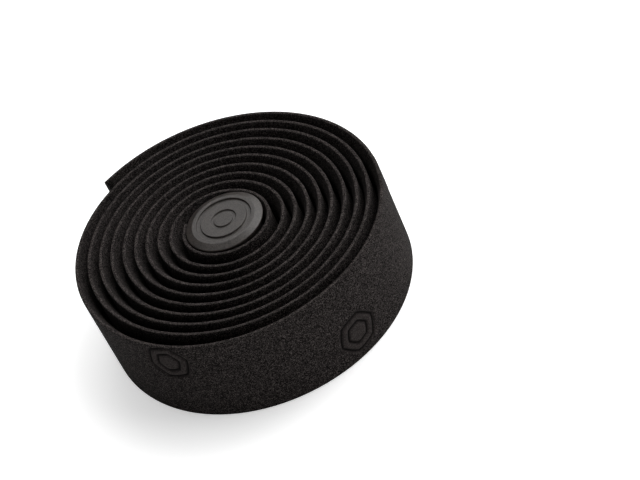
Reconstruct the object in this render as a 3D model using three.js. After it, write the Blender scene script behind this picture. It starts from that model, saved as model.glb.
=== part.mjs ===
// Handlebar tape roll: a strip of foam tape wound on edge into a loose flat spiral, with one
// moulded bar end plug pushed into its eye. Millimetres, +Z up, the roll rests on its edge.

import * as THREE from 'three';

// Tape strip
// The strip has a plain outer (grip) face and a back face that thins towards both edges.
const TAPE_WIDTH = 31.5;          // across the strip, which is the height of the roll
const EDGE_THICKNESS = 1;         // flat edge left beside the bevel
const FULL_THICKNESS = 2.9;       // middle of the strip
const BEVEL_WIDTH = 4.6;          // distance from the edge to the full thickness
const BEVEL_EASE_SHARE = 0.6;     // share of the bevel width that is one straight slope
const BEVEL_EASE_DEPTH = 0.72;    // share of the bevel depth reached by that slope

// Winding
// The middle of the flat edge follows the spiral. It grows anticlockwise seen from above.
const TURNS = 9.937;              // turns of tape from the inner end to the free outer end
const TURN_SPACING = 3.91;        // from one turn to the next, measured along a radius
const INNER_END_AT = 144.6;       // direction of the inner end, degrees from +X
const SLACK_OFFSET = 1.08;        // how far the loose turns sit off the middle of the eye
const SLACK_OFFSET_AT = -115;     // direction of that offset, degrees
const SLACK_OVAL = 0.87;          // half the difference between long and short diameter
const SLACK_OVAL_GROWTH = 0.44;   // what the oval gains from the first to the last turn
const SLACK_OVAL_AT = -49;        // direction of the long diameter, degrees
const SLACK_SETTLE = 0.11;        // what the turns after the first give up in radius
const SLACK_EASE = 0.39;          // turns over which the winding lets go of the round plug
const PRESSED_IN = 1;             // how far the first turn is drawn in against the plug
const OUTER_SLACK = 1.08;         // bulge of the outermost turn
const OUTER_SLACK_BEFORE = 0.697; // turns from that bulge to the free end
const OUTER_SLACK_EASE = 0.124;   // turns over which that bulge fades
const FREE_END_LIFT = 1.14;       // extra spring of the free end off the turn beneath
const FREE_END_EASE = 0.1;        // turns over which that spring fades
const STEPS_PER_TURN = 52;

// End plug
const CLEARANCE = 0.35;           // air kept between the plug and the innermost turn
const PLUG_SHIFT = 0.33;          // how far the plug sits off the middle of the winding
const HEAD_DIAMETER = 25.2;       // rim of the head, the innermost turn lies around it
const RIM_RISE = 0.3;             // top of the rim above the top edge of the tape
const RIM_HEIGHT = 0.4;           // upright part of the rim
const HEAD_BEVEL = 2.2;           // width of the sloping band between flat and rim
const HEAD_BEVEL_RISE = 0.95;     // height of that band
const HEAD_THICKNESS = 3.9;
const HEAD_FLOOR = 2.2;           // thickness over the hollow of the stem
const RING_GROOVE_DIAMETER = 17.2;
const RING_GROOVE_WIDTH = 1.1;
const RING_GROOVE_DEPTH = 0.4;
const STEM_DIAMETER = 17.6;
const STEM_LENGTH = 13.5;
const STEM_WALL = 1.5;
const BARB_COUNT = 3;
const BARB_REACH = 1.5;           // how far each barb stands off the stem
const BARB_LAND = 0.4;            // upright edge of a barb
const BARB_LENGTH = 3.2;          // height of one barb along the stem
const PLUG_SEGMENTS = 56;

const RADIANS = Math.PI / 180;

// The innermost turn starts a clearance away from the rim of the plug.
const startRadius = HEAD_DIAMETER / 2 - PLUG_SHIFT + CLEARANCE + EDGE_THICKNESS / 2;

// A hump over the first turn that is 1 at its peak and fades to nothing at both ends.
function firstTurnHump(turns) {
  const rise = 1.8;
  const fall = 3;
  const hump = (share) => share ** rise * (1 - share) ** fall;
  return turns < 1 ? hump(turns) / hump(rise / (rise + fall)) : 0;
}

// Radius of the middle of the tape edge after a number of turns from the inner end.
function windingRadius(turns) {
  const angle = windingAngle(turns);
  const letGo = 1 - Math.exp(-turns / SLACK_EASE);
  const oval = SLACK_OVAL + SLACK_OVAL_GROWTH * turns / TURNS;
  const offsetPart = SLACK_OFFSET * Math.cos(angle - SLACK_OFFSET_AT * RADIANS);
  const ovalPart = oval * Math.cos(2 * (angle - SLACK_OVAL_AT * RADIANS));
  const slack = letGo * (offsetPart + ovalPart - SLACK_SETTLE);
  const fromBulge = (turns - TURNS + OUTER_SLACK_BEFORE) / OUTER_SLACK_EASE;
  const bulge = OUTER_SLACK * Math.exp(-fromBulge * fromBulge);
  const lift = FREE_END_LIFT * Math.exp((turns - TURNS) / FREE_END_EASE);
  const pressedIn = PRESSED_IN * firstTurnHump(turns);
  return startRadius + TURN_SPACING * turns + slack + bulge + lift - pressedIn;
}

function windingAngle(turns) {
  return INNER_END_AT * RADIANS + turns * 2 * Math.PI;
}

// The path is walked in equal steps of angle, so every turn is equally smooth.
class WindingPath extends THREE.Curve {
  getPoint(share, target = new THREE.Vector3()) {
    const turns = share * TURNS;
    const radius = windingRadius(turns);
    const angle = windingAngle(turns);
    return target.set(radius * Math.cos(angle), radius * Math.sin(angle), 0);
  }

  getPointAt(share, target) {
    return this.getPoint(share, target);
  }

  getTangentAt(share, target) {
    return this.getTangent(share, target);
  }

  getSpacedPoints(divisions) {
    return this.getPoints(divisions);
  }
}

// Section of the strip: "up" runs across the width, "out" points away from the middle.
// The extrusion lays the first axis of a section downwards and the second one inwards.
function stripSection() {
  const out = EDGE_THICKNESS / 2;
  const back = out - FULL_THICKNESS;
  const easeUp = BEVEL_WIDTH * BEVEL_EASE_SHARE;
  const easeOut = -out - (FULL_THICKNESS - EDGE_THICKNESS) * BEVEL_EASE_DEPTH;
  const corners = [
    [0, out],
    [TAPE_WIDTH, out],
    [TAPE_WIDTH, -out],
    [TAPE_WIDTH - easeUp, easeOut],
    [TAPE_WIDTH - BEVEL_WIDTH, back],
    [BEVEL_WIDTH, back],
    [easeUp, easeOut],
    [0, -out],
  ];
  return new THREE.Shape(corners.map(([up, outward]) => new THREE.Vector2(-up, -outward)));
}

function tapeStrip() {
  const geometry = new THREE.ExtrudeGeometry(stripSection(), {
    steps: Math.round(TURNS * STEPS_PER_TURN),
    extrudePath: new WindingPath(),
  });
  const material = new THREE.MeshStandardMaterial({ color: 0x37373a, roughness: 0.88, metalness: 0 });
  const mesh = new THREE.Mesh(geometry, material);
  mesh.name = 'tape_strip';
  return mesh;
}

// Half profile of the plug, from the middle of the face round the stem into its hollow.
function plugProfile() {
  const rimTop = TAPE_WIDTH + RIM_RISE;
  const face = rimTop + HEAD_BEVEL_RISE;
  const rim = HEAD_DIAMETER / 2;
  const flat = rim - HEAD_BEVEL;
  const underside = face - HEAD_THICKNESS;
  const grooveMiddle = RING_GROOVE_DIAMETER / 2;
  const grooveHalf = RING_GROOVE_WIDTH / 2;
  const rimFoot = rimTop - RIM_HEIGHT;
  const backSlope = (FULL_THICKNESS - EDGE_THICKNESS) * BEVEL_EASE_DEPTH
    / (BEVEL_WIDTH * BEVEL_EASE_SHARE);
  const seatReach = rim - (rimFoot - underside) * backSlope;
  const stem = STEM_DIAMETER / 2;
  const foot = underside - STEM_LENGTH;
  const points = [
    [0, face],
    [grooveMiddle - grooveHalf, face],
    [grooveMiddle - grooveHalf / 2, face - RING_GROOVE_DEPTH],
    [grooveMiddle + grooveHalf / 2, face - RING_GROOVE_DEPTH],
    [grooveMiddle + grooveHalf, face],
    [flat, face],
    [rim, rimTop],
    [rim, rimFoot],
    [seatReach, underside],
    [stem, underside],
  ];
  const barbGap = (STEM_LENGTH - BARB_COUNT * BARB_LENGTH) / (BARB_COUNT + 1);
  for (let index = 0; index < BARB_COUNT; index += 1) {
    const top = underside - barbGap * (index + 1) - BARB_LENGTH * index;
    points.push([stem, top]);
    points.push([stem + BARB_REACH, top - BARB_LAND]);
    points.push([stem + BARB_REACH, top - 2 * BARB_LAND]);
    points.push([stem, top - BARB_LENGTH]);
  }
  points.push([stem, foot]);
  points.push([stem - STEM_WALL, foot]);
  points.push([stem - STEM_WALL, face - HEAD_FLOOR]);
  points.push([0, face - HEAD_FLOOR]);
  return points.reverse().map(([across, up]) => new THREE.Vector2(across, up));
}

function endPlug() {
  const geometry = new THREE.LatheGeometry(plugProfile(), PLUG_SEGMENTS);
  geometry.rotateX(Math.PI / 2);
  geometry.translate(PLUG_SHIFT, 0, 0);
  const material = new THREE.MeshStandardMaterial({ color: 0x5c5d60, roughness: 0.55, metalness: 0 });
  const mesh = new THREE.Mesh(geometry, material);
  mesh.name = 'end_plug';
  return mesh;
}

const group = new THREE.Group();
group.name = 'handlebar_tape_roll';
group.add(tapeStrip(), endPlug());

// The origin is the middle of the outline, at the height of the lower tape edge.
const outline = new THREE.Box3().setFromObject(group);
const middle = outline.getCenter(new THREE.Vector3());
group.children.forEach((mesh) => mesh.geometry.translate(-middle.x, -middle.y, -outline.min.z));

export default group;
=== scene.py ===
import bmesh
import bpy
import math
from mathutils import Matrix, Vector


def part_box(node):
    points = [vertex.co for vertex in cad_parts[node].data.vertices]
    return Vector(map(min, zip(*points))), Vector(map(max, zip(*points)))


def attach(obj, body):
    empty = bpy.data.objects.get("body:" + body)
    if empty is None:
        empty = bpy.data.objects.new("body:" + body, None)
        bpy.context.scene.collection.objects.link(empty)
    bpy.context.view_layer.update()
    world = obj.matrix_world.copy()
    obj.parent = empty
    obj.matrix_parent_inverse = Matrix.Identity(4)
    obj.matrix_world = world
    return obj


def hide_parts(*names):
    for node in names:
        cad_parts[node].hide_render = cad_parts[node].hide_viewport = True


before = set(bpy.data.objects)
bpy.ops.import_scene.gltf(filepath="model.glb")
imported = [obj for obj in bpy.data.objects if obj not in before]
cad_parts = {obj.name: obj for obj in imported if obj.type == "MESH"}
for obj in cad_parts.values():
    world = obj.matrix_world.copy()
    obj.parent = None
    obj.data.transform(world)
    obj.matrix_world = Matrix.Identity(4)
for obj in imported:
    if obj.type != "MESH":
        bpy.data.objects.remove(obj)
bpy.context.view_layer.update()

# Camera
# A long lens looks down on the roll from the front. The roll lies flat on the table, so the
# camera leans to the side as far as the roll leans in the picture.
plug_low, plug_high = (Vector(corner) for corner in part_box("end_plug"))
plug_shift = 0.00033            # from the middle of the winding to the middle of the plug
plug_middle = (plug_low + plug_high) / 2
plug_middle.z = 0.0
winding_middle = plug_middle - Vector((plug_shift, 0.0, 0.0))
camera_place = winding_middle + Vector((-0.00039, -0.47588, 0.42696))
camera_aim = winding_middle + Vector((0.02405, -0.01102, 0.0165))
camera_lean = math.radians(-25.27)

camera = bpy.data.objects.new("camera", bpy.data.cameras.new("camera"))
bpy.context.scene.collection.objects.link(camera)
bpy.context.scene.camera = camera
camera.data.sensor_width = 36.0
camera.data.lens = 112.5
camera.data.clip_end = 20.0
level = (camera_aim - camera_place).to_track_quat("-Z", "Y").to_matrix()
leaning = level @ Matrix.Rotation(camera_lean, 3, "Z")
camera.matrix_world = Matrix.Translation(camera_place) @ leaning.to_4x4()


# Tape strip
# One strip of closed-cell EVA foam, 2 m long, wound on edge and held by nothing but its set.
# The grip face is flat, and the back is skived thin towards both edges so that they lie down
# on the bar. A plain generic mark of two six-sided rings is hot-pressed into the grip face.
tape_low, tape_high = (Vector(corner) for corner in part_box("tape_strip"))
tape_width = tape_high.z - tape_low.z
edge_thickness = 0.001
full_thickness = 0.0029
bevel_width = 0.0046
bevel_curve = 1.4               # above 1 the bevel runs out softly into the full thickness
grip_corner = 0.0003            # the knife leaves the edges of the foam just short of sharp
back_corner = 0.00025

turns = 9.937
turn_spacing = 0.00391
inner_end_at = math.radians(144.6)
slack_offset = 0.00108
slack_offset_at = math.radians(-115.0)
slack_oval = 0.00087
slack_oval_growth = 0.00044
slack_oval_at = math.radians(-49.0)
slack_settle = 0.00011
slack_ease = 0.39
pressed_in = 0.001
outer_slack = 0.00108
outer_slack_before = 0.697
outer_slack_ease = 0.124
free_end_lift = 0.00114
free_end_ease = 0.1
plug_clearance = 0.00035
uneven = 0.00008                # hand-wound turns wander a little from the even spiral
uneven_slow = 4.3               # radians of that wander per turn, so that no two turns are alike
uneven_quick = 10.7
rings_per_turn = 112
start_radius = (plug_high.x - plug_low.x) / 2 - plug_shift + plug_clearance + edge_thickness / 2


def first_turn_hump(turned):
    # Rises to 1 and fades again over the first turn, which the plug holds in.
    rise = 1.8
    fall = 3.0
    peak = rise / (rise + fall)
    share = min(turned, 1.0)
    return share ** rise * (1 - share) ** fall / (peak ** rise * (1 - peak) ** fall)


def winding_point(turned):
    # The middle of the strip's edge, a number of turns out from the inner end. The first turn
    # lies against the plug, so the wander comes in over the second one.
    turned = max(turned, 0.0)
    angle = inner_end_at + turned * math.tau
    let_go = 1 - math.exp(-turned / slack_ease)
    offset = slack_offset * math.cos(angle - slack_offset_at)
    oval = slack_oval + slack_oval_growth * turned / turns
    oval *= math.cos(2 * (angle - slack_oval_at))
    from_bulge = (turned - turns + outer_slack_before) / outer_slack_ease
    radius = start_radius + turn_spacing * turned
    radius += let_go * (offset + oval - slack_settle)
    radius += outer_slack * math.exp(-from_bulge ** 2)
    radius += free_end_lift * math.exp((turned - turns) / free_end_ease)
    radius -= pressed_in * first_turn_hump(turned)
    wander = math.sin(turned * uneven_slow) + math.sin(turned * uneven_quick + 1.0)
    radius += uneven * wander * min(max(turned - 1.0, 0.0), 1.0)
    return winding_middle + radius * Vector((math.cos(angle), math.sin(angle), 0.0))


def soften(corners):
    # Each (across, up, rounding) corner with a rounding becomes a small arc of three points,
    # with one more point close by on both sides that keeps the flats beside it truly flat.
    longest_share = 0.4             # an arc takes at most this much of the flats beside it
    arc_middle = 0.25
    close_by = 1.2
    line = []
    for index, (across, up, rounding) in enumerate(corners):
        here = Vector((across, up))
        if rounding == 0.0:
            line.append(here)
            continue
        before = Vector(corners[index - 1][:2]) - here
        after = Vector(corners[(index + 1) % len(corners)][:2]) - here
        cut = min(rounding, before.length * longest_share, after.length * longest_share)
        before.normalize()
        after.normalize()
        line.append(here + before * cut * close_by)
        line.append(here + before * cut)
        line.append(here + (before + after) * cut * arc_middle)
        line.append(here + after * cut)
        line.append(here + after * cut * close_by)
    return line


def back_depth(share):
    # How deep the back stands behind the thin edge, at a share of the bevel's width.
    return (full_thickness - edge_thickness) * (1 - (1 - share) ** bevel_curve)


# Section of the strip as (out from the middle of its edge, up, rounding), from the foot of the
# grip face over the top edge and down the back.
edge_half = edge_thickness / 2
grip_steps = 12
bevel_steps = 6
section = [(edge_half, 0.0, grip_corner)]
for step in range(1, grip_steps):
    section.append((edge_half, tape_width * step / grip_steps, 0.0))
section.append((edge_half, tape_width, grip_corner))
bevel = []
for step in range(bevel_steps + 1):
    share = step / bevel_steps
    rounding = back_corner if step == 0 else 0.0
    bevel.append((-edge_half - back_depth(share), bevel_width * share, rounding))
section += [(outward, tape_width - up, rounding) for outward, up, rounding in bevel]
section += reversed(bevel)
section = soften(section)

# The strip is the section carried along the winding, with a square cut end at both ends.
ring_count = round(turns * rings_per_turn) + 1
corner_count = len(section)
points = []
faces = []
ring_runs = []                  # length of tape from the inner end to each ring
run = 0.0
look_ahead = 0.002              # in turns, for the direction of the winding
last_middle = winding_point(0.0)
for ring in range(ring_count):
    turned = turns * ring / (ring_count - 1)
    middle = winding_point(turned)
    run += (middle - last_middle).length
    ring_runs.append(run)
    last_middle = middle
    ahead = winding_point(turned + look_ahead) - winding_point(turned - look_ahead)
    outward = Vector((ahead.y, -ahead.x, 0.0)).normalized()
    points += [middle + outward * corner.x + Vector((0.0, 0.0, corner.y)) for corner in section]
for ring in range(ring_count - 1):
    here, there = ring * corner_count, (ring + 1) * corner_count
    for step in range(corner_count):
        after = (step + 1) % corner_count
        faces.append((here + step, there + step, there + after, here + after))
faces.append(tuple(range(corner_count)))
faces.append(tuple(reversed(range(len(points) - corner_count, len(points)))))
strip_mesh = bpy.data.meshes.new("wound_strip")
strip_mesh.from_pydata(points, [], faces)

# The pressed marks: one every 58 mm along the tape, by turns near its upper and lower edge.
# They are cut into the outermost turn, whose grip face is the one that can be seen.
mark_pitch = 0.0583
mark_heights = (0.0241, 0.0095)
mark_ring_reach = (0.0062, 0.0035)      # from the middle to the flats of each six-sided ring
mark_corner_softness = 0.3
mark_turn = math.radians(18.0)
mark_line_width = 0.0015
mark_line_depth = 0.0006
mark_lip = 0.00012              # the foam that the stamp pushes up beside each line
mark_lip_at = mark_line_width * 0.8
mark_lip_half_width = mark_line_width * 0.4
mark_sink = 0.00012             # the whole mark lies a little lower than the foam round it
mark_sunk_beyond = 0.0004       # how far past the outer ring the field stays at full depth
mark_edge = 0.0012              # and how far past it the field ends
mark_farthest = 0.0115          # nothing of a mark lies further from its middle
marks_each_way = 4
middle_mark_turned = 9.233      # turns from the inner end to the mark that the others count from
middle_mark_run = ring_runs[round(middle_mark_turned * rings_per_turn)]
outermost_from = ring_runs[-1 - rings_per_turn]
outermost_to = ring_runs[-1] - mark_ring_reach[0]
marks = []
for number in range(-marks_each_way, marks_each_way + 1):
    mark_run = middle_mark_run + number * mark_pitch
    if outermost_from < mark_run < outermost_to:
        marks.append((mark_run, mark_heights[number % 2]))


def smooth(value, full, none):
    # 1 up to full, 0 from none on, and a soft slope between.
    share = min(max((none - value) / (none - full), 0.0), 1.0)
    return share * share * (3 - 2 * share)


def pressed(along, up):
    # How much of a line, of the lip beside it and of the sunk field lies at a spot.
    for mark_run, mark_height in marks:
        spot = Vector((along - mark_run, up - mark_height))
        if spot.length > mark_farthest:
            continue
        spot.rotate(Matrix.Rotation(mark_turn, 2))
        slanting = abs(spot.x) * math.cos(math.pi / 3) + abs(spot.y) * math.sin(math.pi / 3)
        six_sided = max(abs(spot.x), slanting)
        reach = six_sided * (1 - mark_corner_softness) + spot.length * mark_corner_softness
        from_line = min(abs(reach - ring_reach) for ring_reach in mark_ring_reach)
        line = smooth(from_line, 0.0, mark_line_width / 2)
        lip = smooth(abs(from_line - mark_lip_at), 0.0, mark_lip_half_width)
        outside = reach - mark_ring_reach[0]
        return line, lip, smooth(outside, mark_sunk_beyond, mark_edge)
    return 0.0, 0.0, 0.0


# Under each mark the grip face is divided finely, and its points then move in and out.
grip_first = 4                  # the section's points from the foot to the top of the grip face
grip_last = grip_first + grip_steps
mark_cuts = 9
corner_reach = 1.16             # a six-sided ring's corners lie this much further than its flats
window = mark_ring_reach[0] * corner_reach + mark_edge
carved = bmesh.new()
carved.from_mesh(strip_mesh)
carved.verts.ensure_lookup_table()
carved.faces.ensure_lookup_table()
run_at = carved.verts.layers.float.new("run_at")
for ring in range(ring_count):
    for corner in range(corner_count):
        carved.verts[ring * corner_count + corner][run_at] = ring_runs[ring]
to_divide = set()
for ring in range(ring_count - 1):
    for step in range(grip_first, grip_last):
        low, high = section[step].y, section[step + 1].y
        for mark_run, mark_height in marks:
            beside = ring_runs[ring] < mark_run + window and ring_runs[ring + 1] > mark_run - window
            if beside and low < mark_height + window and high > mark_height - window:
                to_divide.update(carved.faces[ring * corner_count + step].edges)
bmesh.ops.subdivide_edges(carved, edges=list(to_divide), cuts=mark_cuts, use_grid_fill=True)

# Each point keeps what it is part of: red a pressed line, green a mark's sunk field, blue the
# cut edge of the strip. Alpha is 1 on the grip face and the cut edge, and 0 on the back.
straight_out = 0.9
past_corner = grip_corner * 1.5
before_corner = grip_corner * 0.3
tints = carved.verts.layers.float_color.new("pressed")
for vert in carved.verts:
    outward = Vector((vert.co.x - winding_middle.x, vert.co.y - winding_middle.y, 0.0)).normalized()
    grip_face = vert.normal.dot(outward) > straight_out
    from_edge = min(vert.co.z, tape_width - vert.co.z)
    if grip_face and from_edge > past_corner:
        line, lip, field = pressed(vert[run_at], vert.co.z)
        vert.co -= outward * (line * mark_line_depth + field * mark_sink - lip * mark_lip)
        vert[tints] = (line, field, 0.0, 1.0)
    else:
        cut_edge = 1.0 if from_edge < before_corner else 0.0
        vert[tints] = (0.0, 0.0, cut_edge, 1.0 if grip_face else cut_edge)
carved.verts.layers.float.remove(run_at)
carved.to_mesh(strip_mesh)
carved.free()
smoothed = [len(face.vertices) < corner_count for face in strip_mesh.polygons]
strip_mesh.polygons.foreach_set("use_smooth", smoothed)
strip = bpy.data.objects.new("wound_tape", strip_mesh)
bpy.context.scene.collection.objects.link(strip)


def linear(code):
    # An sRGB hex colour as the linear red, green, blue and alpha that a shader takes.
    parts = [int(code[start:start + 2], 16) / 255 for start in (1, 3, 5)]
    return tuple(p / 12.92 if p <= 0.04045 else ((p + 0.055) / 1.055) ** 2.4 for p in parts) + (1.0,)


def node(tree, kind, links=None, **settings):
    # Adds one node. Each input takes a value, a socket, or another node's first output.
    made = tree.nodes.new(kind)
    for name, value in settings.items():
        setattr(made, name, value)
    for name, value in (links or {}).items():
        if isinstance(value, bpy.types.Node):
            value = value.outputs[0]
        if isinstance(value, bpy.types.NodeSocket):
            tree.links.new(value, made.inputs[name])
        else:
            made.inputs[name].default_value = value
    return made


# EVA foam, skived: its cells are cut open, which leaves a dead matt, black-brown grain of dark
# pits and paler cell walls. Where the hot stamp has pressed it, the skin is fused and calmer.
cell_size = 0.0002              # real cells are about half this, too fine to show
grain_size = cell_size / 0.7
drift_scale = 180.0             # cloudy patches of about 5 mm from the foaming
foam_dark = "#030202"
foam_pale = "#67605e"
# Painted shade: the pressed lines of the marks are mixed towards this near black, for the shade that falls
# in their grooves.
painted_groove_shade = "#050404"
calm_tone = 0.72                # what pressed and cut foam settles towards
back_tone = 0.62                # the back is drawn darker than the grip face
grip_tone = 0.8
# The cut edge is painted lighter than the grip face: a painted sheen on the upward-facing edge of the
# strip.
cut_edge_sheen_tone = 0.96
pit_depth = 0.0003
foam = bpy.data.materials.new("skived_eva_foam")
foam.use_nodes = True
tree = foam.node_tree
foam_shader = tree.nodes["Principled BSDF"]
foam_shader.inputs["Roughness"].default_value = 0.9
foam_shader.inputs["Specular IOR Level"].default_value = 0.08
place = node(tree, "ShaderNodeTexCoord").outputs["Object"]
stamped = node(tree, "ShaderNodeAttribute", attribute_name="pressed")
stamp = node(tree, "ShaderNodeSeparateColor", {"Color": stamped.outputs["Color"]})
cells = node(tree, "ShaderNodeTexVoronoi", {"Vector": place, "Scale": 1.0 / cell_size})
cell_tone = node(tree, "ShaderNodeSeparateColor", {"Color": cells.outputs["Color"]})
grain = node(tree, "ShaderNodeTexNoise", {"Vector": place, "Scale": 1.0 / grain_size, "Detail": 2.0})
drift = node(tree, "ShaderNodeTexNoise", {"Vector": place, "Scale": drift_scale, "Detail": 2.0})
mixed = node(tree, "ShaderNodeMath", {0: cell_tone, 1: 0.84, 2: -0.035}, operation="MULTIPLY_ADD")
mixed = node(tree, "ShaderNodeMath", {0: grain, 1: 0.15, 2: mixed}, operation="MULTIPLY_ADD")
mixed = node(tree, "ShaderNodeMath", {0: drift, 1: 0.07, 2: mixed}, operation="MULTIPLY_ADD")
calm = node(tree, "ShaderNodeMath", {0: stamp.outputs["Green"], 1: 0.7}, operation="MULTIPLY")
calm = node(tree, "ShaderNodeMath", {0: stamp.outputs["Blue"], 1: 0.2, 2: calm}, operation="MULTIPLY_ADD")
skived = node(tree, "ShaderNodeMath", {0: 1.0, 1: stamped.outputs["Alpha"]}, operation="SUBTRACT")
calm = node(tree, "ShaderNodeMath", {0: skived, 1: 0.15, 2: calm}, operation="MULTIPLY_ADD")
speckle = node(tree, "ShaderNodeMix", {"Factor": calm, "A": mixed, "B": calm_tone}, data_type="FLOAT")
speckle = node(tree, "ShaderNodeMapRange", {"Value": speckle, "From Min": 0.06, "From Max": 0.95})
speckle = node(tree, "ShaderNodeMath", {0: speckle, 1: 3.0}, operation="POWER")
# Painted sheen: the cut edge of the strip, marked blue, is painted lighter than the grip face.
painted_edge_sheen = node(tree, "ShaderNodeMapRange",
              {"Value": stamp.outputs["Blue"], "To Min": grip_tone, "To Max": cut_edge_sheen_tone})
tone = node(tree, "ShaderNodeMath", {0: speckle, 1: painted_edge_sheen}, operation="MULTIPLY")
back_darkening = node(tree, "ShaderNodeMapRange", {"Value": skived, "To Min": 1.0, "To Max": back_tone})
tone = node(tree, "ShaderNodeMath", {0: tone, 1: back_darkening}, operation="MULTIPLY")
body = node(tree, "ShaderNodeMix", {"Factor": tone, "A": linear(foam_dark), "B": linear(foam_pale)},
            data_type="RGBA")
# Painted shade in the pressed lines: where the red of the mark's lines lies, the foam is mixed almost fully
# towards near black.
shade = node(tree, "ShaderNodeMath", {0: stamp.outputs["Red"], 1: 0.95}, operation="MULTIPLY")
body = body.outputs["Result"]
body = node(tree, "ShaderNodeMix", {"Factor": shade, "A": body, "B": linear(painted_groove_shade)},
            data_type="RGBA")
tree.links.new(body.outputs["Result"], foam_shader.inputs["Base Color"])
pits = node(tree, "ShaderNodeBump", {"Height": tone, "Strength": 0.5, "Distance": pit_depth})
tree.links.new(pits.outputs["Normal"], foam_shader.inputs["Normal"])
strip_mesh.materials.append(foam)
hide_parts("tape_strip")
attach(strip, "root")


# Bar end plug
# Moulded in one in dark grey thermoplastic: a flat face, a sloping rim that seats against the
# tape, and a hollow barbed stem that grips the bore of the handlebar. The mould's edges are a
# little rounded, and the face holds nothing but two plain ring grooves.
rim_radius = (plug_high.x - plug_low.x) / 2
face_height = plug_high.z
rim_rise = 0.0003               # the rim stands this much above the tape's edge
rim_height = 0.0004
rim_top = tape_width + rim_rise
rim_foot = rim_top - rim_height
rim_slope_width = 0.0022
ring_grooves = ((0.0036, 0.0011, 0.00045), (0.0083, 0.0016, 0.0006))    # radius, width, depth
head_thickness = 0.0039
head_floor = 0.0022             # what is left over the bore of the stem
underside = face_height - head_thickness
bore_top = face_height - head_floor
seat_share = 0.6                # the head seats on the straight part of the bevel
seat_slope = back_depth(seat_share) / (bevel_width * seat_share)
seat_reach = rim_radius - (rim_foot - underside) * seat_slope
stem_foot = plug_low.z
stem_radius = 0.0088
stem_bore = 0.0073
barb_count = 3
barb_reach = 0.0015
barb_land = 0.0004
barb_length = 0.0032
mould_rounding = 0.00012        # the least that the mould leaves on an edge
plug_sides = 144

# The plug's half section as (across, up, rounding), from the middle of its face over the rim
# and down into the bore. Each ring groove has a flat bottom a little narrower than its mouth.
plug_corners = [(0.0, face_height, 0.0)]
for groove_radius, groove_width, groove_depth in ring_grooves:
    mouth = groove_width * 0.5
    bottom = groove_width * 0.4
    plug_corners.append((groove_radius - mouth, face_height, mould_rounding))
    plug_corners.append((groove_radius - bottom, face_height - groove_depth, mould_rounding))
    plug_corners.append((groove_radius + bottom, face_height - groove_depth, mould_rounding))
    plug_corners.append((groove_radius + mouth, face_height, mould_rounding))
plug_corners.append((rim_radius - rim_slope_width, face_height, 0.00014))
plug_corners.append((rim_radius, rim_top, 0.00016))
plug_corners.append((rim_radius, rim_foot, mould_rounding))
plug_corners.append((seat_reach, underside, 0.0003))
plug_corners.append((stem_radius, underside, 0.0004))
barb_gap = (underside - stem_foot - barb_count * barb_length) / (barb_count + 1)
for barb in range(barb_count):
    barb_top = underside - barb_gap * (barb + 1) - barb_length * barb
    plug_corners.append((stem_radius, barb_top, 0.0001))
    plug_corners.append((stem_radius + barb_reach, barb_top - barb_land, mould_rounding))
    plug_corners.append((stem_radius + barb_reach, barb_top - 2 * barb_land, mould_rounding))
    plug_corners.append((stem_radius, barb_top - barb_length, 0.0002))
plug_corners.append((stem_radius, stem_foot, 0.0003))
plug_corners.append((stem_bore, stem_foot, 0.0003))
plug_corners.append((stem_bore, bore_top, 0.0008))
plug_corners.append((0.0, bore_top, 0.0))

plug_line = soften(plug_corners)
points = [plug_middle + Vector((0.0, 0.0, plug_line[0].y))]
for spot in plug_line[1:-1]:
    for side in range(plug_sides):
        angle = math.tau * side / plug_sides
        points.append(plug_middle + Vector((spot.x * math.cos(angle), spot.x * math.sin(angle), spot.y)))
points.append(plug_middle + Vector((0.0, 0.0, plug_line[-1].y)))
faces = []
last = len(points) - 1
for side in range(plug_sides):
    after = (side + 1) % plug_sides
    faces.append((0, 1 + side, 1 + after))
    faces.append((last, last - plug_sides + after, last - plug_sides + side))
    for row in range(len(plug_line) - 3):
        upper, lower = 1 + row * plug_sides, 1 + (row + 1) * plug_sides
        faces.append((upper + side, lower + side, lower + after, upper + after))
plug_mesh = bpy.data.meshes.new("moulded_plug")
plug_mesh.from_pydata(points, [], faces)
plug_mesh.polygons.foreach_set("use_smooth", [True] * len(faces))
plug = bpy.data.objects.new("bar_end_plug", plug_mesh)
bpy.context.scene.collection.objects.link(plug)

# Thermoplastic from a finely spark-eroded mould: an even satin skin that spreads the highlights
# wide, with a fine grain in its grey and faint cloudy wear from handling.
erosion_grain = 0.0003          # the real pits are under 0.1 mm, too fine to show
erosion_depth = 0.0001
wear_scale = 220.0              # wear in patches of about 4 mm
plastic_dark = "#0b0909"
plastic_pale = "#46403c"
plastic = bpy.data.materials.new("spark_eroded_thermoplastic")
plastic.use_nodes = True
tree = plastic.node_tree
plastic_shader = tree.nodes["Principled BSDF"]
plastic_shader.inputs["Specular IOR Level"].default_value = 0.41
place = node(tree, "ShaderNodeTexCoord").outputs["Object"]
eroded = node(tree, "ShaderNodeTexNoise", {"Vector": place, "Scale": 1.0 / erosion_grain, "Detail": 3.0})
worn = node(tree, "ShaderNodeTexNoise", {"Vector": place, "Scale": wear_scale, "Detail": 3.0})
mottle = node(tree, "ShaderNodeMath", {0: worn, 1: 0.4}, operation="MULTIPLY")
grains = node(tree, "ShaderNodeTexVoronoi", {"Vector": place, "Scale": 1.0 / erosion_grain})
pitted = node(tree, "ShaderNodeSeparateColor", {"Color": grains.outputs["Color"]})
mottle = node(tree, "ShaderNodeMath", {0: pitted, 1: 0.6, 2: mottle}, operation="MULTIPLY_ADD")
body = node(tree, "ShaderNodeMix", {"Factor": mottle, "A": linear(plastic_dark), "B": linear(plastic_pale)},
            data_type="RGBA")
tree.links.new(body.outputs["Result"], plastic_shader.inputs["Base Color"])
gloss = node(tree, "ShaderNodeMapRange", {"Value": worn, "To Min": 0.28, "To Max": 0.38})
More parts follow.
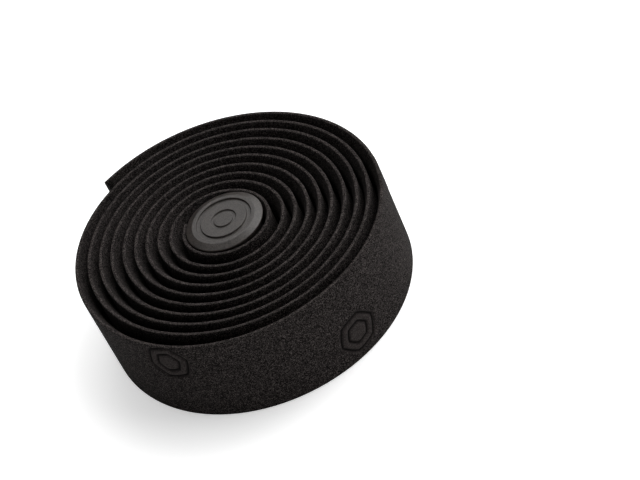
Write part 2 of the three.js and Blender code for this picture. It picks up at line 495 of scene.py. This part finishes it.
tree.links.new(gloss.outputs["Result"], plastic_shader.inputs["Roughness"])
skin = node(tree, "ShaderNodeBump", {"Height": eroded, "Strength": 0.65, "Distance": erosion_depth})
tree.links.new(skin.outputs["Normal"], plastic_shader.inputs["Normal"])
plug_mesh.materials.append(plastic)
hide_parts("end_plug")
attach(plug, "root")


# Table and light
# A plain white table in a white studio, under large soft lamps that stand far away. The table
# keeps the roll's shadow, and what lies behind it shows as white.
table_size = 8.0
shadow_lift = 0.44              # how far the table's shadows are lightened, beside the roll only
dark_radius = 0.046             # under the roll they stay dark, between its turns as well
lit_radius = 0.05
half = table_size / 2
table_corners = [(-half, -half, 0), (half, -half, 0), (half, half, 0), (-half, half, 0)]
table_mesh = bpy.data.meshes.new("table")
table_mesh.from_pydata(table_corners, [], [(0, 1, 2, 3)])
table = bpy.data.objects.new("table", table_mesh)
bpy.context.scene.collection.objects.link(table)
laminate = bpy.data.materials.new("white_laminate")
laminate.use_nodes = True
tree = laminate.node_tree
tree.nodes.remove(tree.nodes["Principled BSDF"])
seen = node(tree, "ShaderNodeLightPath").outputs["Is Camera Ray"]
paint = node(tree, "ShaderNodeMix", {"Factor": seen, "A": linear("#f5f5f5"), "B": linear("#ffffff")},
             data_type="RGBA")
matt = node(tree, "ShaderNodeBsdfDiffuse", {"Color": paint.outputs["Result"]})
place = node(tree, "ShaderNodeTexCoord").outputs["Object"]
from_roll = node(tree, "ShaderNodeVectorMath", {0: place}, operation="LENGTH").outputs["Value"]
lift = node(tree, "ShaderNodeMapRange", {"Value": from_roll, "From Min": dark_radius,
                                         "From Max": lit_radius, "To Max": shadow_lift})
lift = node(tree, "ShaderNodeMath", {0: seen, 1: lift}, operation="MULTIPLY")
white = node(tree, "ShaderNodeEmission", {"Color": linear("#ffffff"), "Strength": lift})
lifted = node(tree, "ShaderNodeAddShader", {0: matt, 1: white})
tree.links.new(lifted.outputs["Shader"], tree.nodes["Material Output"].inputs["Surface"])
table_mesh.materials.append(laminate)

studio_light = 0.02
studio = bpy.data.worlds.new("white_studio")
bpy.context.scene.world = studio
studio.use_nodes = True
tree = studio.node_tree
seen = node(tree, "ShaderNodeLightPath").outputs["Is Camera Ray"]
strength = node(tree, "ShaderNodeMath", {0: seen, 1: 1.0 - studio_light, 2: studio_light},
                operation="MULTIPLY_ADD")
tree.nodes["Background"].inputs["Color"].default_value = linear("#ffffff")
tree.links.new(strength.outputs["Value"], tree.nodes["Background"].inputs["Strength"])


def softbox(name, stands_at, width, strength):
    # A large far lamp: stands_at is its direction from the roll, width its angle across.
    lamp = bpy.data.objects.new(name, bpy.data.lights.new(name, "SUN"))
    bpy.context.scene.collection.objects.link(lamp)
    lamp.data.angle = math.radians(width)
    lamp.data.energy = strength
    lamp.rotation_euler = (-Vector(stands_at)).to_track_quat("-Z", "Y").to_euler()


# Three lamps to the right and behind light the top and model the wall. A low one fills the front.
softbox("lamp_right", (1.0, 0.0, 0.78), 65.0, 1.98)
softbox("lamp_behind_right", (0.7, 0.7, 0.78), 65.0, 1.46)
softbox("lamp_behind", (0.0, 0.53, 1.0), 60.0, 1.02)
softbox("lamp_front", (-0.3, -1.0, 0.21), 60.0, 0.62)

bpy.context.scene.view_settings.view_transform = "Standard"
